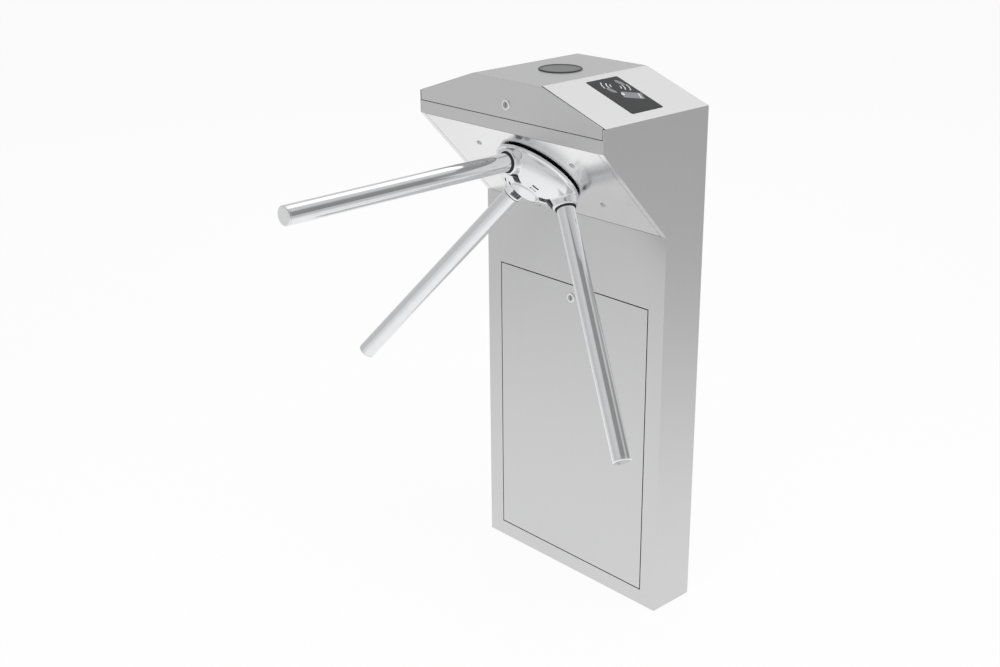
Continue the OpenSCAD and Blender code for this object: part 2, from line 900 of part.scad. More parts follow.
module solenoid_right() {
    color("goldenrod") hub_frame() solenoid();
}

module plunger() {
    x = pawl_pivot.x + link_l;
    base = solenoid_top + plunger_stroke + 2 * fork_gap;
    inside = solenoid.y / 4;
    outer = pawl_t / 2 + fork_gap + fork_t;
    arm = pawl_pivot.y + 2 * cross_pin_r - base;
    translate([x, solenoid_top - inside, pawl_z]) rotate([-90, 0, 0])
        cylinder(r = plunger_r, h = base - solenoid_top + inside + cut);
    translate([x - plunger_r, base, pawl_z - outer]) difference() {
        cube([2 * plunger_r, arm, 2 * outer]);
        translate([-cut, fork_t, fork_t]) cube([2 * (plunger_r + cut), arm, 2 * (outer - fork_t)]);
    }
    translate([x, pawl_pivot.y, pawl_z - outer]) cylinder(r = cross_pin_r, h = 2 * outer);
}

module plunger_left() {
    color("silver") hub_frame() mirror([1, 0, 0]) plunger();
}

module plunger_right() {
    color("silver") hub_frame() plunger();
}

module bar(from, to, w) {
    span = to - from;
    translate(from) rotate(atan2(span.y, span.x)) translate([0, -w / 2]) square([norm(span), w]);
    translate(to) circle(w / 2);
}

module pawl() {
    tip = index_r + nose_gap;
    knee = [tip + (pawl_pivot.y + pawl_w) * sin(pawl_swing) + pawl_w / 2, 0];
    link = pawl_pivot + [link_l, 0];
    translate([0, 0, pawl_z - pawl_t / 2]) linear_extrude(pawl_t) difference() {
        union() {
            translate(pawl_pivot) circle(pawl_boss_r);
            bar(pawl_pivot, knee, pawl_w);
            translate([tip, -nose_w / 2]) square([knee.x - tip, nose_w]);
            bar(pawl_pivot, link, link_w);
        }
        translate(pawl_pivot) circle(pawl_pin_r + run_fit);
        translate(link) square(2 * [cross_pin_r + cross_pin_play, cross_pin_r + slip_fit], center = true);
    }
}

module pawl_left() {
    color("dimgray") hub_frame() mirror([1, 0, 0]) pawl();
}

module pawl_right() {
    color("dimgray") hub_frame() pawl();
}

module fork_sensor() {
    low = sensor_z - sensor_t - fork_slot / 2;
    high = sensor_z + fork_slot / 2;
    y = sensor_r - fork_reach + fork_slot / 2;
    translate([-fork_w / 2, y, board_z]) difference() {
        cube([fork_w, fork_reach + fork_web, high + fork_slot - board_z]);
        translate([-cut, -cut, low - board_z]) cube([fork_w + 2 * cut, fork_reach + cut, high - low]);
    }
}

module sensor_board() {
    color("seagreen") hub_frame() {
        translate([-board_x, board_low, board_z - board_t])
            cube([2 * board_x, bridge_high - board_low, board_t]);
        mirrored_x() {
            translate([fork_x, 0, 0]) fork_sensor();
            translate([post_x, post_y, board_z - board_t / 2])
                cylinder(r = post_end_r, h = pawl_plate_z - board_z + board_t / 2);
        }
    }
}

// Rotor

gasket_w = 2;
gasket_seat_d = 4;
gasket_proud = 1.5;
mouth_bevel = 2;
collar_l = 6;
window_w = 17;
window_l = 8;
window_wall = 3;
insert_t = 3.5;
insert_ribs = 4;
nose_slot_l = 13;
nose_slot_w = 3;
nose_slot_depth = 6;
nose_slot_gap = 7;
head_r = 27;
head_t = 10;
cap_r = 24;
cap_seat_d = 5;
cap_t = 5;
cap_crown = 2;
spigot_z = 38;
hub_nut_t = 8;
window_foot = [cap_r + window_wall, mouth_h - window_wall];
window_floor = arm_r + window_wall;
dome_steps = 8;

// Points of an arc, from one angle to another
function arc_points(centre, r, from, to) =
    [for (i = [0 : dome_steps]) let (a = from + (to - from) * i / dome_steps) centre + r * [cos(a), sin(a)]];

module dome() {
    foot_r = hub_flange_r - flange_step;
    ring_r = foot_r - shoulder_r;
    crown_r = (ring_r * ring_r + dome_h * dome_h - shoulder_r * shoulder_r) / (2 * (dome_h - shoulder_r));
    meet = acos(ring_r / (crown_r - shoulder_r));
    crown = arc_points([0, dome_h - crown_r], crown_r, meet, 90);
    translate([0, 0, hub_gap + hub_flange_t]) rotate_extrude() polygon(concat(
        arc_points([ring_r, 0], shoulder_r, 0, meet),
        [for (i = [1 : dome_steps - 1]) crown[i]],
        [[0, dome_h], [0, 0]]
    ));
}

module socket_sleeve(k) {
    sleeve_r = arm_r + sleeve_wall;
    root_r = 2 * arm_r;
    arm_frame(k) {
        translate([0, 0, -socket_l]) cylinder(r1 = root_r, r2 = sleeve_r, h = socket_l - mouth_bevel);
        translate([0, 0, -mouth_bevel]) cylinder(r1 = sleeve_r, r2 = sleeve_r - mouth_bevel, h = mouth_bevel);
    }
}

// Points of an arm's section: along the arm from its mouth, and off its axis away from the nose
function arm_point(along, off) =
    [mouth_r, mouth_h] + along * [sin(slant_a), cos(slant_a)] + off * [cos(slant_a), -sin(slant_a)];

// A point moved by a distance towards another
function toward(from, to, way) = from + way * (to - from) / norm(to - from);

module nose_window(k) {
    far = arm_point(-collar_l, -3 * arm_r);
    rotate([0, 0, 120 * k]) in_yz(-window_w / 2, window_w) polygon([
        window_foot, arm_point(-collar_l, -window_floor), far, [window_foot.x, far.y]
    ]);
}

module outer_window(k) {
    arm_frame(k) translate([-window_w / 2, window_floor, -collar_l - window_l])
        cube([window_w, window_floor, window_l]);
}

module nose_insert(k) {
    w = window_w - 2 * run_fit;
    corner = arm_point(-collar_l, -window_floor);
    foot = toward(window_foot, corner, run_fit);
    heel = toward(corner, window_foot, run_fit);
    top = heel - insert_t * [cos(slant_a), -sin(slant_a)];
    groove_w = w / (2 * insert_ribs - 1);
    rotate([0, 0, 120 * k]) difference() {
        in_yz(-w / 2, w) polygon([foot, heel, top, foot + [0, insert_t]]);
        for (i = [1 : insert_ribs - 1]) in_yz(-w / 2 + (2 * i - 1) * groove_w, groove_w) polygon([
            foot + [-cut, insert_t / 2], top + [cut, -insert_t / 2],
            top + [cut, cut], foot + [-cut, insert_t + cut]
        ]);
    }
}

module outer_insert(k) {
    w = window_w - 2 * run_fit;
    arm_frame(k) translate([-w / 2, window_floor, -collar_l - window_l + run_fit])
        cube([w, insert_t / 2, window_l - 2 * run_fit]);
}

module nose_slot(k) {
    r = cap_r + nose_slot_gap;
    rotate([0, 0, 120 * k - 60]) translate([-nose_slot_l / 2, r, hub_top - nose_slot_depth])
        cube([nose_slot_l, nose_slot_w, nose_slot_depth + cut]);
}

module hub() {
    nut_pocket_r = nut_r + pocket_play;
    color("lightgray") hub_frame() difference() {
        intersection() {
            union() {
                dome();
                translate([0, 0, hub_gap]) cylinder(r = hub_flange_r, h = hub_flange_t);
                translate([0, 0, -drum_d]) cylinder(r = drum_r, h = drum_d + hub_gap + cut);
                for (k = [0 : 2]) socket_sleeve(k);
            }
            union() {
                translate([0, 0, hub_gap]) cylinder(r = 2 * mouth_r, h = 2 * mouth_r);
                translate([0, 0, -drum_d]) cylinder(r = drum_r, h = drum_d + hub_gap + cut);
            }
        }
        for (k = [0 : 2]) {
            arm_frame(k) {
                translate([0, 0, -socket_l]) cylinder(r = arm_r + seat_fit, h = socket_l + cut);
                translate([0, 0, -gasket_seat_d]) cylinder(r = arm_r + gasket_w, h = gasket_seat_d + cut);
            }
            nose_window(k);
            outer_window(k);
            nose_slot(k);
        }
        translate([0, 0, -drum_d - cut]) cylinder(r = head_r + seat_fit, h = head_t + cut);
        translate([0, 0, -drum_d]) cylinder(r = thread_r + seat_fit, h = drum_d + hub_top);
        translate([0, 0, spigot_z - hub_nut_t]) cylinder(r = nut_pocket_r, h = hub_top);
        translate([0, 0, hub_top - cap_seat_d]) cylinder(r = cap_r + run_fit, h = hub_top);
    }
}

module hub_nut() {
    color("gray") hub_frame() difference() {
        translate([0, 0, spigot_z - hub_nut_t]) cylinder(r = nut_r, h = hub_nut_t, $fn = 6);
        translate([0, 0, spigot_z - hub_nut_t - cut])
            cylinder(r = thread_r + seat_fit, h = hub_nut_t + 2 * cut);
    }
}

module hub_cap() {
    color("gainsboro") hub_frame() translate([0, 0, hub_top - cap_seat_d]) rotate_extrude() polygon([
        [0, 0], [cap_r, 0], [cap_r, cap_t - cap_crown], [cap_r - cap_crown, cap_t], [0, cap_t]
    ]);
}

module arm() {
    translate([0, 0, -socket_l]) difference() {
        cylinder(r = arm_r, h = socket_l + arm_l - cap_edge);
        translate([0, 0, -cut]) cylinder(r = arm_r - arm_wall, h = socket_l + arm_l + 2 * cut);
    }
}

module arm_1() {
    color("lightgray") hub_frame() arm_frame(0) arm();
}

module arm_2() {
    color("lightgray") hub_frame() arm_frame(1) arm();
}

module arm_3() {
    color("lightgray") hub_frame() arm_frame(2) arm();
}

cap_edge = 4;
cap_plug_l = 14;
cap_chamfer = 1.5;

module arm_end_caps() {
    plug = arm_r - arm_wall - seat_fit;
    color("gainsboro") hub_frame() for (k = [0 : 2]) arm_frame(k) translate([0, 0, arm_l - cap_edge])
        rotate_extrude() polygon([
            [0, -cap_plug_l], [plug, -cap_plug_l], [plug, 0], [arm_r, 0],
            [arm_r, cap_edge - cap_chamfer], [arm_r - cap_chamfer, cap_edge], [0, cap_edge]
        ]);
}

module arm_gaskets() {
    color("black") hub_frame() for (k = [0 : 2]) {
        arm_frame(k)
            ring(arm_r + gasket_w - seat_fit, arm_r + seat_fit, -gasket_seat_d, gasket_seat_d + gasket_proud);
        nose_insert(k);
        outer_insert(k);
    }
}

key_width = 8;
key_high = 7;
key_seat = 4;

module key_box(grow) {
    l = index_t + index_hub_l - 2 * cut;
    translate([-key_width / 2 - grow, shaft_r - key_seat, index_z - index_hub_l + cut])
        cube([key_width + 2 * grow, key_high + grow, l]);
}

module shaft() {
    color("lightgray") hub_frame() difference() {
        union() {
            translate([0, 0, -drum_d]) cylinder(r = head_r, h = head_t);
            translate([0, 0, sensor_z - sensor_t])
                cylinder(r = shaft_r, h = -sensor_z + sensor_t - drum_d + cut);
            translate([0, 0, -drum_d]) cylinder(r = thread_r, h = drum_d + spigot_z);
            translate([0, 0, sensor_z - sensor_t - nut_t - cut]) cylinder(r = thread_r, h = nut_t + 2 * cut);
        }
        key_box(0);
    }
}

module shaft_key() {
    color("gray") hub_frame() key_box(0);
}

module index_slot() {
    mouth = index_r + cut;
    foot = index_r - slot_d;
    spread = (slot_mouth_w - slot_foot_w) / 2 / slot_d * cut;
    polygon([
        [foot, -slot_foot_w / 2], [mouth, -slot_mouth_w / 2 - spread],
        [mouth, slot_mouth_w / 2 + spread], [foot, slot_foot_w / 2]
    ]);
}

module index_disc() {
    window_r = index_r / 9;
    color("darkgray") hub_frame() difference() {
        union() {
            translate([0, 0, index_z]) linear_extrude(index_t) difference() {
                circle(index_r);
                for (i = [0 : index_slots - 1]) rotate(i * 360 / index_slots) {
                    index_slot();
                    rotate(180 / index_slots) translate([index_r * 3 / 5, 0]) circle(window_r);
                }
            }
            translate([0, 0, sensor_z])
                cylinder(r = index_hub_r, h = index_hub_l + index_t + disc_gap - slip_fit);
        }
        translate([0, 0, sensor_z - cut])
            cylinder(r = shaft_r + seat_fit, h = index_hub_l + index_t + disc_gap + 2 * cut);
        key_box(seat_fit);
    }
}

module sensor_disc() {
    window = sensor_r / 8;
    color("black") hub_frame() translate([0, 0, sensor_z - sensor_t]) linear_extrude(sensor_t) difference() {
        circle(sensor_r);
        circle(shaft_r + seat_fit);
        for (k = [0 : 2]) rotate(120 * k) translate([0, sensor_r - window])
            square([2 * window, window], center = true);
    }
}

module shaft_nut() {
    z = sensor_z - sensor_t - nut_t;
    color("gray") hub_frame() difference() {
        translate([0, 0, z]) cylinder(r = nut_r, h = nut_t, $fn = 6);
        translate([0, 0, z - cut]) cylinder(r = thread_r + seat_fit, h = nut_t + 2 * cut);
    }
}

base_plate();
end_shell_left();
end_shell_right();
rear_panel();
rear_frame();
front_panel();
plinth_strip();
head_rail();
slanted_panel();
panel_screws();
door();
door_pivot_pins();
door_lock_barrel();
door_lock_plug();
door_lock_cam();
lid();
lid_hinge_fixed_leaf();
lid_hinge_moving_leaf();
lid_hinge_pin();
lid_lock_barrel();
lid_lock_plug();
lid_lock_cam();
indicator_bezel();
indicator_lens();
indicator_housing();
reader_plate();
reader_module();
power_supply();
backup_battery();
control_board();
terminal_strip();
mechanism_plate();
plate_standoffs();
bearing_housing();
housing_bolts();
front_bearing();
rear_bearing();
pawl_plate();
plate_pillars();
pawl_pins();
solenoid_left();
solenoid_right();
sensor_board();
hub();
hub_nut();
hub_cap();
arm_1();
arm_2();
arm_3();
arm_end_caps();
arm_gaskets();
shaft();
shaft_key();
index_disc();
sensor_disc();
shaft_nut();
pawl_left();
pawl_right();
plunger_left();
plunger_right();
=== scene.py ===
# Tripod turnstile: camera, studio, finishes and the finer pieces laid over the CAD frame.
import json
import math
import bpy
from mathutils import Matrix, Vector


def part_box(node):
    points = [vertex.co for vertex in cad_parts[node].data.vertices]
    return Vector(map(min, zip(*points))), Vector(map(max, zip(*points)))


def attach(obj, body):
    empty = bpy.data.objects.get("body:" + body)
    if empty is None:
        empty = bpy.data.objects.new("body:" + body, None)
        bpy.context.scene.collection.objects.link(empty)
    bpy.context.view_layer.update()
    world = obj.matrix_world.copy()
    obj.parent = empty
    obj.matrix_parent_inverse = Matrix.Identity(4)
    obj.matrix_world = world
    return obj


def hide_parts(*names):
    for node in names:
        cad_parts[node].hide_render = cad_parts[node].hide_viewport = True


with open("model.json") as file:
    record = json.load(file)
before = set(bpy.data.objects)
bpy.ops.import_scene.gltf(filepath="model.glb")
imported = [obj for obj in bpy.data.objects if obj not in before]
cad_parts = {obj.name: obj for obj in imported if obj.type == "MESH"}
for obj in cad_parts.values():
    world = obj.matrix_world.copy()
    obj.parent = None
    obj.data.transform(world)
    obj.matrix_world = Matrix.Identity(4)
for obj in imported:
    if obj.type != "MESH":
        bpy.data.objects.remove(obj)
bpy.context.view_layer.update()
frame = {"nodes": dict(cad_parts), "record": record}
nodes = frame["nodes"]
bodyOf = {node: body for body, members in frame["record"]["behaviour"]["bodies"].items() for node in members}
mm = 0.001
print("frame loaded:", len(nodes), "nodes")

# camera, at the photo's place and angle

view = {"place": (1.69763, -1.79395, 1.43581), "yaw": -47.245, "pitch": 21.219, "roll": -0.552,
        "lens": 51.201, "sensor": 36, "far": 60}


def setCamera():
    yaw, pitch, roll = (math.radians(view[name]) for name in ("yaw", "pitch", "roll"))
    forward = Vector((math.sin(yaw) * math.cos(pitch), math.cos(yaw) * math.cos(pitch), -math.sin(pitch)))
    level = forward.cross(Vector((0, 0, 1))).normalized()
    top = level.cross(forward)
    right = math.cos(roll) * level + math.sin(roll) * top
    up = math.cos(roll) * top - math.sin(roll) * level
    lens = bpy.data.cameras.new("camera")
    lens.lens = view["lens"]
    lens.sensor_width = view["sensor"]
    lens.clip_end = view["far"]
    eye = bpy.data.objects.new("camera", lens)
    bpy.context.scene.collection.objects.link(eye)
    eye.matrix_world = Matrix.Translation(view["place"]) @ Matrix((right, up, -forward)).transposed().to_4x4()
    bpy.context.scene.camera = eye


setCamera()
print("camera set")


# shader maths as plain Python expressions

class Signal:
    def __init__(self, finish, socket):
        self.finish = finish
        self.socket = socket

    def __add__(self, other):
        return self.finish.maths("ADD", self, other)

    def __sub__(self, other):
        return self.finish.maths("SUBTRACT", self, other)

    def __mul__(self, other):
        return self.finish.maths("MULTIPLY", self, other)

    def __rsub__(self, other):
        return self.finish.maths("SUBTRACT", other, self)

    __radd__ = __add__
    __rmul__ = __mul__


colourMix = {"mask": 0, "under": 6, "over": 7, "result": 2}  # sockets of the mix node for colours


class ShadeTree:
    def __init__(self, tree):
        self.tree = tree

    def node(self, kind, settings, inputs, output=0):
        made = self.tree.nodes.new(kind)
        for name, value in settings.items():
            setattr(made, name, value)
        for name, value in inputs.items():
            if isinstance(value, Signal):
                self.tree.links.new(value.socket, made.inputs[name])
            else:
                made.inputs[name].default_value = value
        return Signal(self, made.outputs[output])

    def maths(self, operation, first, second):
        return self.node("ShaderNodeMath", {"operation": operation}, {0: first, 1: second})

    def place(self):
        return self.node("ShaderNodeTexCoord", {}, {}, "Object")

    def axes(self):
        point = self.place()
        return [self.node("ShaderNodeSeparateXYZ", {}, {0: point}, axis) for axis in range(3)]

    def vector(self, x, y, z):
        return self.node("ShaderNodeCombineXYZ", {}, {0: x, 1: y, 2: z})

    def noise(self, where, scale, detail=2.0, roughness=0.5):
        inputs = {"Vector": where, "Scale": scale, "Detail": detail, "Roughness": roughness}
        return self.node("ShaderNodeTexNoise", {}, inputs)

    def above(self, value, level):
        return self.maths("GREATER_THAN", value, level)

    def between(self, value, low, high):
        return self.above(value, low) * (1 - self.above(value, high))

    def remap(self, value, low, high):
        return low + value * (high - low)

    def blend(self, mask, under, over):
        coloured = lambda shade: shade if isinstance(shade, Signal) else (*shade, 1)
        inputs = {colourMix["mask"]: mask, colourMix["under"]: coloured(under),
                  colourMix["over"]: coloured(over)}
        return self.node("ShaderNodeMix", {"data_type": "RGBA"}, inputs, colourMix["result"])

    def smooth(self, value, low, high, first=0.0, last=1.0):
        inputs = {"Value": value, "From Min": low, "From Max": high, "To Min": first, "To Max": last}
        return self.node("ShaderNodeMapRange", {"interpolation_type": "SMOOTHSTEP"}, inputs)


class Finish(ShadeTree):
    def __init__(self, name, colour, **constants):
        self.material = bpy.data.materials.new(name)
        self.material.use_nodes = True
        super().__init__(self.material.node_tree)
        self.shader = self.tree.nodes["Principled BSDF"]
        self.shader.inputs["Base Color"].default_value = (*colour, 1)
        for socket, value in constants.items():
            self.shader.inputs[socket.replace("_", " ")].default_value = value

    def feed(self, name, value):
        self.tree.links.new(value.socket, self.shader.inputs[name])

    def bump(self, height, strength, distance):
        inputs = {"Height": height, "Strength": strength, "Distance": distance}
        self.feed("Normal", self.node("ShaderNodeBump", {}, inputs))


def shaded(colour, factor):
    return tuple(channel * factor for channel in colour)


# finishes: brushed sheet, with the grain along one axis and, on the end shells, along the roof

brushed = {"colour": (0.63, 0.63, 0.635), "fine": 2400, "long": 9, "detail": (3.0, 0.6),
           "rough": (0.27, 0.43), "roughCloud": 0.08, "shade": 0.10, "cloud": 0.04, "patch": 2.2,
           "dark": 0.8, "light": 1.2, "contrast": 2.5, "lift": 2.0, "bump": 0.35, "depth": 0.00002}
# a painted shadow: a near-black band on the end shells' faces along the roof's front edge, where the gap to
# the lid lies in shade
roofSeamShadow = {"front": -0.2042, "back": -0.2021, "above": 0.931, "shade": (0.03, 0.03, 0.032)}


def brushedSteel(name, along, colour=None, roofFrom=None, rough=None, paintSeamShadow=False):
    base = colour or brushed["colour"]
    finish = Finish(name, base, Metallic=1.0)
    x, y, z = finish.axes()
    scales = [brushed["long"] if axis == along else brushed["fine"] for axis in "xyz"]
    if along == "slope":
        scales = [brushed["fine"], brushed["long"], brushed["long"]]
    across = y * scales[1]
    if roofFrom:
        roof = finish.above(z, roofFrom)
        across = y * (scales[1] - roof * (scales[1] - brushed["long"]))
    grain = finish.noise(finish.vector(x * scales[0], across, z * scales[2]), 1.0, *brushed["detail"])
    cloud = finish.noise(finish.place(), brushed["patch"]) - 0.5
    low, high = rough or brushed["rough"]
    finish.feed("Roughness", finish.remap(grain, low, high) + cloud * brushed["roughCloud"])
    tone = (1 - brushed["shade"] / 2) + grain * brushed["shade"] + cloud * brushed["cloud"]
    mask = tone * brushed["contrast"] - brushed["lift"]
    sheet = finish.blend(mask, shaded(base, brushed["dark"]), shaded(base, brushed["light"]))
    # painted shade: faces in this band along the roof's front edge are darkened to stand in for the gap's
    # shadow
    if paintSeamShadow:
        inSeamShadow = finish.between(y, roofSeamShadow["front"], roofSeamShadow["back"]) * finish.above(z, roofSeamShadow["above"])
        sheet = finish.blend(inSeamShadow, sheet, roofSeamShadow["shade"])
    finish.feed("Base Color", sheet)
    finish.bump(grain, brushed["bump"], brushed["depth"])
    return finish.material


# plated and ground metal, cast metal

chromed = {"colour": (0.82, 0.825, 0.835), "rough": (0.05, 0.11), "scuff": (340, 4.0, 0.7), "wave": (55, 1.0),
           "dark": 0.93, "bump": 0.05, "depth": 0.00002}
plated = {"rough": (0.32, 0.5), "mottle": (60, 4.0, 0.6), "speck": 900, "dark": 0.8, "bump": 0.15,
          "depth": 0.00005}
castSkin = {"grain": (420, 5.0, 0.7), "rough": (0.42, 0.62), "dark": 0.72, "bump": 0.5, "depth": 0.00025}


def chromePlate(name, colour=None, rough=None):
    base = colour or chromed["colour"]
    finish = Finish(name, base, Metallic=1.0)
    point = finish.place()
    scuff = finish.noise(point, *chromed["scuff"])
    wave = finish.noise(point, *chromed["wave"])
    low, high = rough or chromed["rough"]
    finish.feed("Roughness", finish.remap(scuff, low, high))
    finish.feed("Base Color", finish.blend(wave, base, shaded(base, chromed["dark"])))
    finish.bump(scuff + wave, chromed["bump"], chromed["depth"])
    return finish.material


def platedSteel(name, colour, rough=None):
    finish = Finish(name, colour, Metallic=1.0)
    point = finish.place()
    mottle = finish.noise(point, *plated["mottle"])
    speck = finish.noise(point, plated["speck"])
    low, high = rough or plated["rough"]
    finish.feed("Base Color", finish.blend(mottle, shaded(colour, plated["dark"]), colour))
    finish.feed("Roughness", finish.remap(mottle, low, high))
    finish.bump(speck, plated["bump"], plated["depth"])
    return finish.material


def castMetal(name, colour):
    finish = Finish(name, colour, Metallic=1.0)
    grains = finish.noise(finish.place(), *castSkin["grain"])
    finish.feed("Base Color", finish.blend(grains, shaded(colour, castSkin["dark"]), colour))
    finish.feed("Roughness", finish.remap(grains, *castSkin["rough"]))
    finish.bump(grains, castSkin["bump"], castSkin["depth"])
    return finish.material


# mouldings, inks and rubber

mould = {"rough": (0.38, 0.52), "grain": 1500, "detail": (3.0, 0.6), "cloud": 14, "dark": 0.85, "bump": 0.4,
         "depth": 0.00006, "specular": 0.5}


def moulded(name, colour, **changes):
    finish = Finish(name, colour, Specular_IOR_Level=changes.get("specular", mould["specular"]))
    point = finish.place()
    texture = finish.noise(point, changes.get("grain", mould["grain"]), *mould["detail"])
    cloud = finish.noise(point, mould["cloud"])
    finish.feed("Base Color", finish.blend(cloud, shaded(colour, mould["dark"]), colour))
    finish.feed("Roughness", finish.remap(texture, *changes.get("rough", mould["rough"])))
    finish.bump(texture, mould["bump"], changes.get("depth", mould["depth"]))
    return finish.material


# circuit boards: tracks on green, and black parts that stand before the board

circuit = {"green": (0.012, 0.11, 0.045), "copper": (0.02, 0.17, 0.07), "black": (0.02, 0.02, 0.022),
           "rough": (0.3, 0.5), "speck": 900, "bump": 0.3, "depth": 0.00004}
trackLayout = {"Scale": 160.0, "Mortar Size": 0.06, "Brick Width": 0.9, "Row Height": 0.35}


def circuitBoard(name, partsBefore=None):
    finish = Finish(name, circuit["green"])
    x, y, z = finish.axes()
    layout = {"Vector": finish.vector(x, z, 0), **trackLayout}
    tracks = finish.node("ShaderNodeTexBrick", {"offset": 0.5}, layout, "Fac")
    board = finish.blend(tracks, circuit["green"], circuit["copper"])
    if partsBefore:
        board = finish.blend(1 - finish.above(y, partsBefore), board, circuit["black"])
    finish.feed("Base Color", board)
    speck = finish.noise(finish.place(), circuit["speck"])
    finish.feed("Roughness", finish.remap(speck, *circuit["rough"]))
    finish.bump(tracks, circuit["bump"], circuit["depth"])
    return finish.material


steel = brushedSteel("brushedSteel", "z")
# the end shells' finish carries the painted shadow along the roof's front edge
shellSteel = brushedSteel("brushedShell", "z", roofFrom=0.9318, paintSeamShadow=True)
lidSteel = brushedSteel("brushedLid", "slope")
brightSteel = brushedSteel("polishedPanel", "slope", colour=(0.81, 0.81, 0.815), rough=(0.13, 0.21))
chrome = chromePlate("chrome")
castChrome = chromePlate("chromedCasting", rough=(0.07, 0.13))
groundSteel = chromePlate("groundSteel", colour=(0.6, 0.6, 0.6), rough=(0.18, 0.28))
zinc = platedSteel("zincPlate", (0.56, 0.57, 0.6))
hardSteel = platedSteel("hardenedSteel", (0.3, 0.29, 0.3), (0.25, 0.4))
yellowZinc = platedSteel("yellowZinc", (0.55, 0.42, 0.16))
aluminium = castMetal("castAluminium", (0.52, 0.53, 0.55))
darkPlastic = moulded("darkPlastic", (0.035, 0.036, 0.04))
rubber = moulded("gasketRubber", (0.018, 0.018, 0.019), rough=(0.6, 0.75))
lensPlastic = moulded("smokedLens", (0.085, 0.086, 0.089), rough=(0.25, 0.35), grain=300, depth=0.00001)
readerGloss = moulded("readerAcrylic", (0.02, 0.0205, 0.022), rough=(0.3, 0.42), grain=600, depth=0.00001,
                      specular=0.12)
insertGrey = moulded("insertGrey", (0.15, 0.152, 0.155), rough=(0.3, 0.42), grain=900, depth=0.00003)
lightInk = moulded("lightInk", (0.55, 0.56, 0.57), rough=(0.45, 0.6), grain=700, depth=0.00002)
greyInk = moulded("greyInk", (0.19, 0.195, 0.2), rough=(0.45, 0.6), grain=700, depth=0.00002)
screwSteel = platedSteel("screwSteel", (0.62, 0.62, 0.63), (0.2, 0.34))
# painted shade for the inside of the screws' hexagon sockets
paintedSocketShade = platedSteel("paintedSocketShade", (0.1, 0.1, 0.104), (0.3, 0.5))
lockSteel = chromePlate("lockSteel", colour=(0.42, 0.42, 0.43), rough=(0.16, 0.26))
terminalGreen = moulded("terminalGreen", (0.05, 0.25, 0.09))
boardGreen = circuitBoard("circuitBoard", partsBefore=0.0345)
sensorGreen = circuitBoard("sensorBoard")
print("finishes made")

nodeFinish = {
    steel: ["front_panel", "door", "rear_panel", "plinth_strip", "lid_hinge_fixed_leaf",
            "lid_hinge_moving_leaf"],
    shellSteel: ["end_shell_left", "end_shell_right"],
    lidSteel: ["lid", "head_rail"],
    brightSteel: ["slanted_panel"],
    chrome: ["arm_1", "arm_2", "arm_3", "door_lock_barrel", "lid_lock_barrel"],
    lockSteel: ["door_lock_plug", "lid_lock_plug"],
    screwSteel: ["panel_screws"],
    castChrome: ["hub", "hub_cap", "arm_end_caps"],
    groundSteel: ["front_bearing", "rear_bearing", "pawl_pins", "shaft", "shaft_key", "plunger_left",
                  "plunger_right", "lid_hinge_pin"],
    zinc: ["base_plate", "rear_frame", "door_pivot_pins", "door_lock_cam", "lid_lock_cam", "power_supply",
           "mechanism_plate", "plate_standoffs", "housing_bolts", "pawl_plate", "plate_pillars", "hub_nut",
           "shaft_nut"],
    hardSteel: ["index_disc", "pawl_left", "pawl_right"],
    yellowZinc: ["solenoid_left", "solenoid_right"],
    aluminium: ["bearing_housing"],
    darkPlastic: ["indicator_bezel", "indicator_housing", "reader_module", "backup_battery", "sensor_disc"],
    rubber: ["arm_gaskets"],
    lensPlastic: ["indicator_lens"],
    readerGloss: ["reader_plate"],
    terminalGreen: ["terminal_strip"],
    boardGreen: ["control_board"],
    sensorGreen: ["sensor_board"],
}
finishOf = {node: material for material, members in nodeFinish.items() for node in members}
for nodeName, material in finishOf.items():
    nodes[nodeName].data.materials.clear()
    nodes[nodeName].data.materials.append(material)
print("finishes on", len(finishOf), "of", len(nodes), "nodes")


# tools for the finer pieces

merging = {"distance": 0.002, "ink": 0.001, "flat": 0.5}  # millimetres, and degrees between flat faces
smoothAngle = 35


def selectOnly(piece):
    if bpy.context.object and bpy.context.object.mode != "OBJECT":
        bpy.ops.object.mode_set(mode="OBJECT")
    bpy.ops.object.select_all(action="DESELECT")
    piece.select_set(True)
    bpy.context.view_layer.objects.active = piece


def copyOfNode(node, name):
    piece = bpy.data.objects.new(name, nodes[node].data.copy())
    bpy.context.scene.collection.objects.link(piece)
    selectOnly(piece)
    bpy.ops.object.mode_set(mode="EDIT")
    bpy.ops.mesh.select_all(action="SELECT")
    bpy.ops.mesh.remove_doubles(threshold=merging["distance"] * mm)
    bpy.ops.mesh.dissolve_limited(angle_limit=math.radians(merging["flat"]))
    bpy.ops.object.mode_set(mode="OBJECT")
    return piece


def applied(piece, kind, **settings):
    modifier = piece.modifiers.new(kind.title(), kind)
    for name, value in settings.items():
        setattr(modifier, name, value)
    selectOnly(piece)
    bpy.ops.object.modifier_apply(modifier=modifier.name)


def smoothed(piece, angle=smoothAngle):
    selectOnly(piece)
    bpy.ops.object.shade_smooth_by_angle(angle=math.radians(angle))


def seat(piece, node, material):
    piece.data.materials.clear()
    piece.data.materials.append(material)
    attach(piece, bodyOf[node])


# every solid gets the edges that its process leaves, as a radius in millimetres

rounding = {"segments": 2, "fromAngle": 25, "weight": 100}

